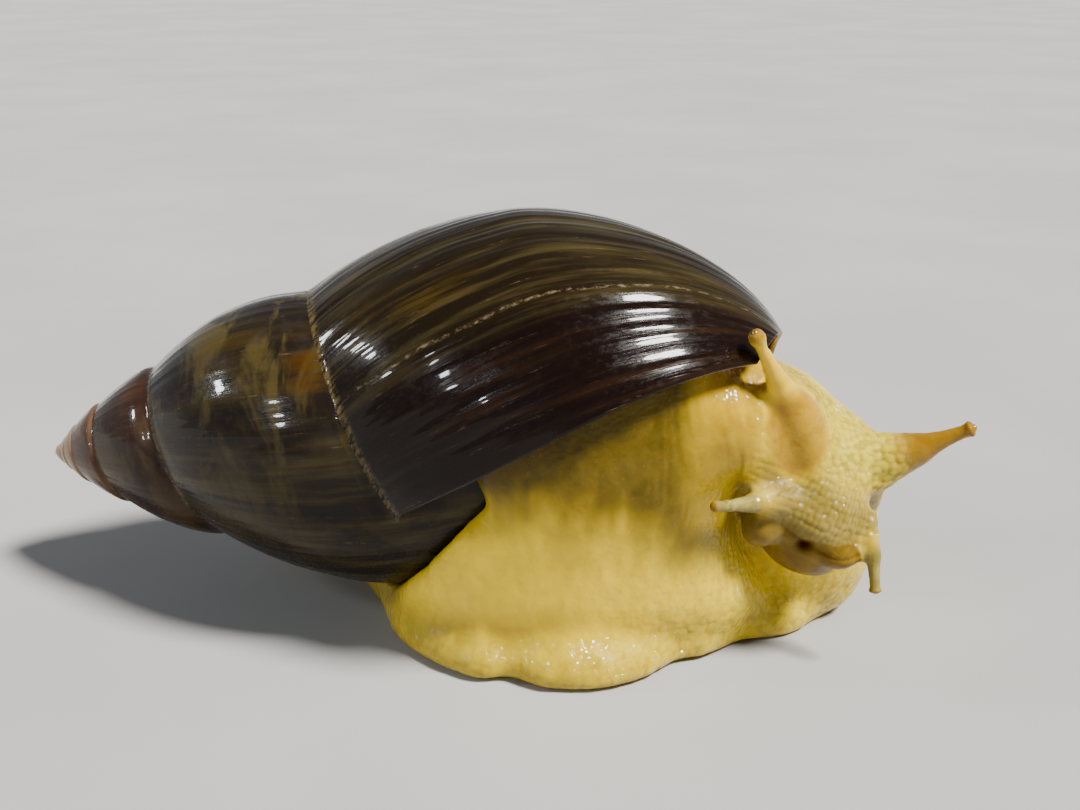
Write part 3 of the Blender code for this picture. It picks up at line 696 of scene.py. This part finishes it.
def shell_material():
    paint = Paint("shell_surface")
    grow = paint.uv("Grow")
    growth, depth = paint.parts(grow)[:2]
    turn, share = paint.parts(paint.uv("Age"))[:2]

    def noise(along, down, *settings):
        return paint.noise(paint.stretched(grow, (along, down, 1.0)), 1.0, *settings)

    broad, streaks, fine = noise(9.0, 2.2, 3.0), noise(46.0, 2.4, 4.0, 0.62), noise(170.0, 7.0, 3.0, 0.6)
    specks, haze = noise(120.0, 60.0, 4.0, 0.7), noise(12.0, 8.0, 4.0, 0.6)
    patches = noise(7.0, 10.0, 5.0, 0.62, 0.6)
    # dark ground broken by olive, in streaks on the body whorl and in patches on the older ones
    dark, olive = paint.ramp(turn, *DARK_BY_AGE), paint.ramp(turn, *OLIVE_BY_AGE)
    old = paint.band(turn, 0.86, 0.80)
    streaked = paint.laid(dark, olive, paint.band(streaks, 0.45, 0.68), 0.50)
    patched = paint.laid(dark, olive, paint.band(patches, 0.50, 0.62), 0.90)
    colour = paint.laid(streaked, patched, old, 0.75)
    colour = paint.laid(colour, olive, paint.band(broad, 0.52, 0.74), 0.32)
    # the youngest part of the body whorl, past its worn line, is purple-black
    young = paint.band(growth, WORN_LINE, WORN_LINE + 0.05)
    colour = paint.laid(colour, YOUNG, young, 0.88)
    colour = paint.laid(colour, YOUNG_STREAK, paint.times(young, paint.band(streaks, 0.52, 0.7)), 0.5)
    for middle, spread, height, rise, strength, tone in AMBER_PATCHES:
        near = paint.times(paint.hump(growth, middle, spread), paint.hump(depth, height, rise))
        colour = paint.laid(colour, tone, paint.times(near, paint.band(streaks, 0.36, 0.62)), strength)
    # grey-purple bloom on the older whorls, rubbed dashes and a worn line along the growth lines
    colour = paint.laid(colour, BLOOM, paint.times(old, paint.band(haze, 0.52, 0.70)), 0.45)
    dashes = paint.times(paint.band(fine, 0.62, 0.74), paint.band(specks, 0.42, 0.60))
    colour = paint.laid(colour, SCRATCH, dashes, 0.5)
    wavy = paint.math("ADD", growth, paint.times(paint.math("ADD", haze, -0.5), 0.02))
    worn = paint.times(paint.hump(wavy, WORN_LINE, 0.004), paint.band(specks, 0.44, 0.66))
    colour = paint.laid(colour, WORN, worn, 0.7)
    thread = paint.times(paint.band(share, 0.022, 0.008), paint.band(specks, 0.40, 0.62))
    colour = paint.laid(colour, SUTURE_THREAD, thread, 0.5)
    lines = paint.mix(0.5, streaks, fine)
    normal = paint.bump(specks, 0.22, 0.14, paint.bump(lines, 0.5, 0.30))
    film = paint.bump(lines, 0.25, 0.12)
    rough = paint.band(specks, 0.42, 0.72, 0.16, 0.42)
    polish = paint.band(paint.parts(paint.place())[2], DULL_HEIGHT, POLISHED_HEIGHT, DULL_COAT, 1.0)
    return paint.finish(Base_Color=colour, Roughness=rough, Normal=normal, Specular_IOR_Level=0.06,
                        Coat_Weight=polish, Coat_Roughness=0.035, Coat_IOR=1.205, Coat_Normal=film)


def shell_lining():
    """The pinkish brown inside of the shell and its lip edge."""
    paint = Paint("shell_lining")
    cloudy = paint.noise(paint.place(), 220.0, 4.0)
    fine = paint.noise(paint.place(), 1400.0, 3.0)
    colour = paint.mix(paint.band(cloudy, 0.35, 0.65), (0.20, 0.115, 0.07), (0.30, 0.19, 0.13))
    return paint.finish(Base_Color=colour, Roughness=0.3, Normal=paint.bump(fine, 0.2, 0.1), Coat_Weight=0.3)


# ---- skin ----
def smooth_path(points, count):
    """A number of places along a smooth curve through some points."""
    rows = [np.array(p, float) for p in points]
    rows = [2 * rows[0] - rows[1]] + rows + [2 * rows[-1] - rows[-2]]
    path = []
    for k in range(count):
        place = k / (count - 1) * (len(rows) - 3)
        i = min(int(place), len(rows) - 4)
        f = place - i
        a, b, c, d = rows[i:i + 4]
        path.append(0.5 * (2 * b + (c - a) * f + (2 * a - 5 * b + 4 * c - d) * f * f
                           + (3 * b - a - 3 * c + d) * f * f * f))
    return np.array(path)


def feeler_path(name):
    """Rows of x, y, z and radius along a feeler, which ends in a round bulb."""
    base, bend, tip, (root, half, waist, bulb) = FEELERS[name]
    base, bend, tip = np.array(base), np.array(bend), np.array(tip)
    ahead = unit(tip - bend)
    rows = [(*base, root), (*((base + bend) / 2), (root + half) * 0.48), (*bend, half)]
    rows += [(*(bend + (tip - bend) * place), waist + (half - waist) * share) for place, share in FLARE_SHARES]
    rows += [(*(bend + (tip - bend) * BULB_SHARE), bulb), (*(tip - ahead * 0.15 * bulb), bulb * 0.72),
             (*(tip + ahead * 0.12 * bulb), bulb * 0.2)]
    return smooth_path(rows, FEELER_STEPS)


def tube(path, sides, extra):
    """Points and faces of a round solid along rows of x, y, z and radius."""
    middles, points, faces = path[:, :3], [], []
    across = np.array((0.0, 1.0, 0.0))
    for k, (middle, radius) in enumerate(zip(middles, path[:, 3] + extra)):
        ahead = unit(middles[min(k + 1, len(path) - 1)] - middles[max(k - 1, 0)])
        across = unit(across - ahead * across.dot(ahead))
        rise = np.cross(ahead, across)
        for n in range(sides):
            a = 2 * math.pi * n / sides
            points.append(middle + across * radius * math.cos(a) + rise * radius * math.sin(a))
    for k in range(len(path) - 1):
        for n in range(sides):
            a, b = k * sides + n, k * sides + (n + 1) % sides
            faces.append((a, b, b + sides, a + sides))
    points += [middles[0], middles[-1] + unit(middles[-1] - middles[-2]) * extra]
    start, end = len(points) - 2, len(points) - 1
    last = (len(path) - 1) * sides
    faces += [(start, (n + 1) % sides, n) for n in range(sides)]
    faces += [(end, last + n, last + (n + 1) % sides) for n in range(sides)]
    return points, faces


def add_feelers(shape, until=None):
    """Joins swollen feelers, or only their broad bases, to a mesh being built."""
    for name in FEELERS:
        path = feeler_path(name)
        if until is not None:
            path = path[:round(until * len(path))]
        points, faces = tube(path, FEELER_SIDES, CLOSE_GAPS)
        form = mesh_object(name + "_form", packed(points), faces)
        shape.from_mesh(form.data)
        bpy.data.objects.remove(form, do_unlink=True)


def joined_trunk():
    """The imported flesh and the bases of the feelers, swollen until the cuts close, as one smooth mesh."""
    shape = bmesh.new()
    for name in TRUNK:
        part = bmesh.new()
        part.from_mesh(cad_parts[name].data)
        bmesh.ops.remove_doubles(part, verts=part.verts, dist=WELD)
        bmesh.ops.recalc_face_normals(part, faces=part.faces)
        part.normal_update()
        for vert, normal in [(v, v.normal.copy()) for v in part.verts]:
            vert.co += normal * CLOSE_GAPS * MM
        mesh = bpy.data.meshes.new(name)
        part.to_mesh(mesh)
        part.free()
        shape.from_mesh(mesh)
    add_feelers(shape, until=ROOT_SHARE)
    mesh = bpy.data.meshes.new("trunk")
    shape.to_mesh(mesh)
    shape.free()
    trunk = added("trunk", mesh)
    remesh(trunk, COARSE_VOXEL)
    mesh = trunk.data
    set_places(mesh, relaxed(places(mesh), edge_pairs(mesh), len(mesh.vertices), TRUNK_PASSES, 0.55))
    return trunk


def joined_skin():
    """Trunk and feelers as one fine mesh, brought back to the surface of the solids."""
    trunk = joined_trunk()
    shape = bmesh.new()
    shape.from_mesh(trunk.data)
    add_feelers(shape)
    shape.to_mesh(trunk.data)
    shape.free()
    remesh(trunk, FINE_VOXEL)
    trunk.name = "skin"
    mesh = trunk.data
    edges = edge_pairs(mesh)
    count = len(mesh.vertices)
    points = relaxed(places(mesh), edges, count, 4, 0.5)
    roots = np.array([row[:3] for name in FEELERS for row in feeler_path(name)[:36:6]])
    near_root = fade(7.0, 11.0, distance_to(working(points), roots))
    blended = relaxed(points, edges, count, 14, 0.5)
    stalk = np.zeros(count)
    for name in FEELERS:
        share, away = along_path(working(points), feeler_path(name))
        stalk = np.maximum(stalk, smoothstep(0.35, 0.5, share) * fade(1.3, 1.8, away))
    points += (blended - points) * (near_root * (1 - stalk))[:, None]
    set_places(mesh, points)
    set_places(mesh, points - normals(mesh) * (CLOSE_GAPS - LEFT_SWOLLEN) * MM)
    return trunk, edges


def face_frame():
    """Directions to the face's right, up and forward."""
    up = unit(LOOK_UP)
    forward = unit(LOOK_FORWARD - up * np.dot(LOOK_FORWARD, up))
    return np.cross(forward, up), up, forward


FACE_RIGHT, FACE_UP, FACE_FORWARD = face_frame()
FACE_TURN = np.stack([FACE_RIGHT, FACE_UP, FACE_FORWARD], axis=1)


def in_lumps(p, *names):
    """How far out a point lies in the nearest of some of the head's egg shapes: 1 is its surface."""
    lumps = [HEAD_LUMPS[name] for name in names]
    return np.min([np.linalg.norm((p - middle) @ FACE_TURN / halves, axis=1)
                   for middle, halves in lumps], axis=0)


def along_path(p, path, reach=9.0):
    """Share along a path of the nearest place on it, and the distance over the radius there."""
    best = np.full(len(p), 1e9)
    share = np.zeros(len(p))
    near = np.where(np.linalg.norm(p - path[:, :3].mean(axis=0), axis=1)
                    < np.linalg.norm(path[0, :3] - path[-1, :3]) * 0.6 + reach)[0]
    for k, row in enumerate(path):
        away = np.linalg.norm(p[near] - row[:3], axis=1) / max(row[3], 0.3)
        closer = away < best[near]
        best[near[closer]] = away[closer]
        share[near[closer]] = k / (len(path) - 1)
    return share, best


def lip_line():
    """Points of the working frame along the lip of the shell."""
    v = np.linspace(0, 1, 70)
    return whorl_points(lip_time(v), v)


def clearance(points, reach=4.0):
    """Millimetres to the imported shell, up to a reach, for keeping relief from poking through it."""
    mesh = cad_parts["shell"].data
    tree = BVHTree.FromPolygons([v.co for v in mesh.vertices], [tuple(f.vertices) for f in mesh.polygons])
    away = np.full(len(points), reach)
    for k, place in enumerate(points.tolist()):
        hit = tree.find_nearest(place, reach * MM)
        if hit[0] is not None:
            away[k] = hit[3] / MM
    return away


def feeler_shares(p):
    """How much of each point is stalk, lower stalk, bulb, amber stalk and root of a feeler."""
    stalk, lower, bulb, orange, root = (np.zeros(len(p)) for _ in range(5))
    for name in FEELERS:
        share, away = along_path(p, feeler_path(name))
        on = fade(1.30, 1.80, away)
        this = on * smoothstep(0.06, 0.26, share)
        stalk = np.maximum(stalk, this)
        root = np.maximum(root, fade(1.6, 2.2, away) * fade(0.12, 0.28, share))
        if name == "upper_tentacle_left":
            orange = np.maximum(orange, fade(1.5, 2.1, away) * smoothstep(0.04, 0.20, share))
        bulb = np.maximum(bulb, on * smoothstep(0.70, 0.80, share))
        if name.startswith("lower"):
            lower = np.maximum(lower, this)
    return stalk, lower, bulb, orange, root


def foot_cells(p):
    """Faint tall cells of the foot, and the round grains that grow clearer toward its head end."""
    wobble = (layered_cloud(p * 0.22, 5) - 0.5)[:, None] * (3.2, 3.2, 2.0)
    near, next_near = knobs((p + wobble) / (3.6, 3.6, 5.8), 11, 0.85)
    grain_near, _ = knobs((p + wobble * 0.5) / (1.35, 1.35, 1.6), 23, 0.8)
    return smoothstep(0.02, 0.5, next_near - near), dome(grain_near, 0.75)


def neck_waves(p):
    """Fine upright wrinkles, in broken bundles."""
    drift = layered_cloud(p * (0.10, 0.10, 0.05), 71) - 0.5
    waves = np.sin((0.8 * p[:, 0] + 0.8 * p[:, 1] + 14.0 * drift) * 2 * math.pi / 2.6)
    return waves * smoothstep(0.35, 0.60, layered_cloud(p * (0.14, 0.14, 0.06), 73))


def head_beads(p, rise):
    """Beads in columns that run up the face, and how far they have given way to rounder bumps."""
    q = p - FACE_MIDDLE
    round_face = np.arctan2(q @ FACE_RIGHT, q @ FACE_FORWARD) * FACE_ROUND
    coarse = smoothstep(2.5, 9.0, rise)
    near, _ = knobs(np.stack([round_face / BEAD[0], rise / BEAD[1]], axis=1), 83, 0.42)
    rows = dome(near, 0.60) * (0.65 + 0.7 * layered_cloud(p * 0.9, 85, 2))
    near, _ = knobs(p / 1.30, 89, 0.75)
    return rows * (1 - coarse) + dome(near, 0.66) * coarse, coarse


def mouth_marks(p):
    """Depth of the grooves by the mouth, and how far into its pit each point lies."""
    grooves = np.zeros(len(p))
    for places_along, depth, width in MOUTH_GROOVES:
        away = distance_to(p, smooth_path(places_along, 40))
        grooves = np.maximum(grooves, depth * bell(away, 0, width))
    return grooves, bell(distance_to(p * MOUTH_SHAPE, [MOUTH * MOUTH_SHAPE]), 0, 1.25)


def make_skin():
    skin, edges = joined_skin()
    mesh = skin.data
    count = len(mesh.vertices)
    p = working(places(mesh))
    n = normals(mesh)
    x, y, z = p.T
    free = smoothstep(0.35, 2.4, clearance(places(mesh)))
    # painted shade: hollows and creases, where the surface lies below its smoothed self, are darkened
    soft = relaxed(p, edges, count, 60, 0.6)
    hollow = relaxed(np.einsum("ij,ij->i", soft - p, n), edges, count, 6)
    painted_crevice_shade = smoothstep(0.05, 0.9, hollow)
    stalk, lower, bulb, orange, root = feeler_shares(p)
    nearest = in_lumps(p, *HEAD_LUMPS)
    head = relaxed(np.maximum(fade(1.06, 1.30, nearest), root), edges, count, 8) * (1 - stalk)
    side = np.hypot((x - CHEEK_MIDDLE[0]) / CHEEK_HALVES[0], (z - CHEEK_MIDDLE[1]) / CHEEK_HALVES[1])
    side = fade(0.70, 1.12, side + 0.25 * (layered_cloud(p * 0.3, 29, 2) - 0.5)) * (y < -4)
    mouth_parts = in_lumps(p, "chin", "lobe_right", "lobe_left")
    rise = (p - FACE_MIDDLE) @ FACE_UP
    low_face = fade(LIP_RISE - 1.2, LIP_RISE + 1.0, rise + 1.6 * (layered_cloud(p * 0.5, 31, 2) - 0.5))
    on_lobe = fade(0.98, 1.12, mouth_parts) * fade(-2.0, 0.5, rise)
    smooth_lip = np.maximum(low_face, on_lobe)
    lip_away = distance_to(p, lip_line())
    margin = fade(3.5, 9.5, z) * (1 - head)
    sole = fade(0.15, 1.0, z)
    column = (1 - head) * (1 - stalk) * (1 - sole)
    cells, grain = foot_cells(p)
    grainy = smoothstep(-12, 22, x) * fade(14, 26, z) + 0.45 * margin + smoothstep(20, 27, x)
    grainy = np.clip(grainy, 0, 1)
    relief = column * (0.035 * (cells - 0.6) + (0.02 + 0.11 * grainy) * (grain - 0.5))
    folds = layered_cloud(p * (0.15, 0.15, 0.045), 41) - 0.5
    relief += column * 1.1 * folds * smoothstep(2.0, 8.0, z)
    # the frill: creases that run up from its edge, and a soft swell between them
    pleats = layered_cloud(p * (0.20, 0.20, 0.06), 61, 2) - 0.5
    swell = layered_cloud(p * (0.11, 0.11, 0.04), 51, 2) - 0.5
    relief += margin * (0.7 * pleats + 1.1 * swell) * smoothstep(0.2, 1.6, z) * (1 - 0.5 * sole)
    # wrinkles where the trunk turns into the neck
    wrinkled = smoothstep(2, 12, x) * fade(24, 29, x) * (1 - head) * smoothstep(9, 16, z)
    wrinkled *= fade(2, 10, y)
    relief += wrinkled * 0.10 * neck_waves(p)
    beads, coarse = head_beads(p, rise)
    beaded = head * (1 - 0.92 * side) * (1 - 0.9 * smooth_lip)
    relief += beaded * (0.23 + 0.05 * coarse) * (beads - 0.55)
    near, _ = knobs(p / 1.15, 101, 0.8)
    neck = (1 - head) * (1 - stalk) * smoothstep(17, 25, x) * smoothstep(12, 30, z)
    relief += neck * 0.11 * (dome(near, 0.7) - 0.5)
    near, _ = knobs(p / 0.72, 97, 0.5)
    relief += (0.05 * lower + 0.02 * stalk) * (1 - bulb) * (dome(near, 0.7) - 0.5)
    grooves, pit = mouth_marks(p)
    relief -= grooves * (1 - stalk)
    p = p + n * (relief * free)[:, None] - FACE_FORWARD * (pit * 2.2)[:, None]
    p[:, 2] = np.maximum(p[:, 2], 0.0)
    set_places(mesh, packed(p))
    # how far each tone takes over
    ragged = 6 * (layered_cloud(p * 0.15, 7) - 0.5)
    upright = 5 * (layered_cloud(p * (0.30, 0.30, 0.06), 9) - 0.5)
    # painted shade: the neck under the shell lip is darkened where the shell's shadow falls on it, over the
    # neck's own duller olive
    shade = smoothstep(-8.0, 7.5, z - (32.5 - 0.92 * np.maximum(x, 0)) + ragged + upright)
    shade *= (1 - smoothstep(9, 18, x) * smoothstep(41, 51, z)) * fade(17, 27, x)
    shade *= 1 - 0.65 * smoothstep(8, 16, x)
    # painted shadow in the hollow of the neck beside the head
    painted_neck_shadow = bell(x, 17.0, 8.0) * bell(z, 34, 12) * fade(9, 20, y) * (1 - stalk)
    # painted shadow of the shell lip: a dark band on the flesh just under it
    painted_lip_shadow = fade(1, 7, lip_away + 0.3 * ragged) * fade(8, 18, x)
    # painted shade along the shell lip on the right of the neck, damping the sunlit flesh there
    painted_shade_below_lip = fade(3, 9, lip_away) * smoothstep(8, 18, x)
    # the neck top's own orange-yellow, also darkened as painted shade to damp the sunlit flesh under the shell
    # lip
    nape = smoothstep(8, 17, x) * smoothstep(34, 44, z) * fade(27, 33, x)
    tone = {
        "nape": nape * column,
        "painted_shade_below_lip": painted_shade_below_lip * (1 - stalk),
        "painted_neck_shadow": painted_neck_shadow,
        "shade": shade * column,
        "painted_lip_shadow": painted_lip_shadow * column,
        "head": head * (1 - side) * smoothstep(2.0, 11.0, rise),
        "snout": head * (1 - side) * fade(2.0, 11.0, rise),
        "side": side,
        "lips": smooth_lip * head,
        # the right oral lobe's own greyer colour, lightened as painted light where the feeler's shadow falls on
        # it
        "pale_lobe_painted_light": fade(1.0, 1.2, in_lumps(p, "lobe_right")) * smooth_lip * head,
        "stalk": stalk,
        "orange": orange,
        "lower": lower,
        "bulb": bulb,
        # the foot's olive margin, painted darker toward the floor as shade
        "edge": column * fade(5.0, 15.0, z + 0.5 * ragged),
        "painted_crevice_shade": painted_crevice_shade,
        "groove": column * (1 - cells) * 0.28 + beaded * (1 - beads) * (0.65 - 0.40 * coarse),
        "grain": (grainy * grain) * column + beaded * beads * (0.25 + 0.75 * coarse),
        "mouth": np.maximum(pit, bell(grooves, 1, 0.5) * 0.5),
        "slits": bell(distance_to(p * SLIT_SHAPE, SLITS * SLIT_SHAPE), 0, 0.8),
    }
    for name, values in tone.items():
        attribute = mesh.attributes.new(name, "FLOAT", "POINT")
        attribute.data.foreach_set("value", np.clip(values, 0, 1).astype(np.float32))
    mesh.shade_smooth()
    mesh.materials.clear()
    mesh.materials.append(skin_material())
    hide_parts(*FLESH)
    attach(skin, "root")


def skin_material():
    paint = Paint("skin")
    place = paint.place()
    broad, mottle = paint.noise(place, 55.0, 3.0), paint.noise(place, 240.0, 4.0)
    speckle = paint.noise(place, 900.0, 3.0, 0.6)
    colour = paint.mix(paint.band(broad, 0.32, 0.68), *SKIN_BASE)
    for value, strength, low, high in SKIN_TONES:
        tone = paint.mix(paint.band(mottle, 0.36, 0.66), low, high)
        colour = paint.laid(colour, tone, paint.values(value), strength)
    for value, strength, tone in SKIN_DETAILS:
        colour = paint.laid(colour, tone, paint.values(value), strength)
    colour = paint.laid(colour, SKIN_FLECKS, paint.band(speckle, 0.60, 0.74), 0.15)
    colour = paint.mix(paint.band(paint.values("mouth"), 0.25, 0.85), colour, MOUTH_RED)
    colour = paint.laid(colour, SLIT_DARK, paint.values("slits"), 0.8)
    normal = paint.bump(speckle, 0.20, 0.12, paint.bump(paint.voronoi(place, 1250.0), 0.22, 0.10))
    # the slime film glints on the beads and the grainy edge
    glinting = paint.math("ADD", paint.values("grain"), 0.25)
    film = paint.bump(paint.times(paint.voronoi(place, 1100.0), glinting), 1.0, 0.70)
    film = paint.bump(speckle, 0.15, 0.10, film)
    rough = paint.band(mottle, 0.35, 0.7, 0.30, 0.46)
    dull = paint.math("ADD", paint.values("lips"), paint.times(paint.values("shade"), 0.8))
    wet = paint.band(dull, 0.0, 1.0, 1.0, 0.35)
    return paint.finish(
        Base_Color=colour, Roughness=rough, Normal=normal, Subsurface_Weight=0.22,
        Subsurface_Radius=(1.0, 0.45, 0.06), Subsurface_Scale=0.0018, Specular_IOR_Level=0.05,
        Coat_Weight=wet, Coat_Roughness=0.06, Coat_IOR=1.33, Coat_Normal=film,
    )


# ---- eyes ----
def make_eye(name):
    low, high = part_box(name)
    bpy.ops.mesh.primitive_uv_sphere_add(segments=48, ring_count=32, radius=EYE_RADIUS * EYE_SHOWN * MM,
                                         location=(low + high) / 2)
    eye = bpy.context.object
    eye.name = eye.data.name = name + "_spot"
    eye.data.shade_smooth()
    paint = Paint(name + "_spot")
    grain = paint.noise(paint.place(), 1800.0, 3.0)
    colour = paint.mix(paint.band(grain, 0.35, 0.7), (0.13, 0.055, 0.006), (0.26, 0.125, 0.010))
    eye.data.materials.append(paint.finish(
        Base_Color=colour, Roughness=0.18, Coat_Weight=1.0, Coat_Roughness=0.04,
        Normal=paint.bump(grain, 0.1, 0.05),
    ))
    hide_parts(name)
    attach(eye, "root")


# ---- stage ----
def make_stage():
    bpy.ops.mesh.primitive_plane_add(size=FLOOR_SIZE, location=(0, 0, -FLOOR_DROP))
    floor = bpy.context.object
    floor.name = "floor"
    paint = Paint("floor")
    grain = paint.noise(paint.place(), 9.0, 4.0)
    colour = paint.mix(paint.band(grain, 0.3, 0.7), *FLOOR_TONES)
    floor.data.materials.append(paint.finish(Base_Color=colour, Roughness=0.75))


def sun(name, toward, strength, angle, colour):
    """A far soft lamp that shines from a direction."""
    light = bpy.data.lights.new(name, "SUN")
    light.energy, light.angle, light.color = strength, math.radians(angle), colour
    added(name, light).rotation_euler = Vector(toward).to_track_quat("Z", "Y").to_euler()


def make_lights():
    for lamp in LAMPS:
        sun(*lamp)
    world = bpy.data.worlds.new("room")
    bpy.context.scene.world = world
    world.use_nodes = True
    nodes, links = world.node_tree.nodes, world.node_tree.links
    toward, height, shade = (nodes.new("ShaderNode" + kind) for kind in ("TexCoord", "SeparateXYZ", "ValToRGB"))
    links.new(toward.outputs["Generated"], height.inputs["Vector"])
    links.new(height.outputs["Z"], shade.inputs["Fac"])
    links.new(shade.outputs["Color"], nodes["Background"].inputs["Color"])
    while len(shade.color_ramp.elements) < len(ROOM_GLOW):
        shade.color_ramp.elements.new(1.0)
    for element, (place, glow) in zip(shade.color_ramp.elements, ROOM_GLOW):
        element.position, element.color = place, (*(part * glow for part in ROOM_TINT), 1.0)


def make_camera():
    lens = bpy.data.cameras.new("camera")
    lens.lens, lens.sensor_width, lens.clip_start = CAMERA_LENS, CAMERA_SENSOR, CAMERA_NEAR
    camera = added("camera", lens)
    camera.location = packed(CAMERA_PLACE)
    camera.rotation_euler = (math.pi / 2 - CAMERA_DROP, 0, 0)
    bpy.context.scene.camera = camera


make_camera()
make_lights()
make_stage()
make_shell()
make_skin()
for eye_name in ("eye_right", "eye_left"):
    make_eye(eye_name)
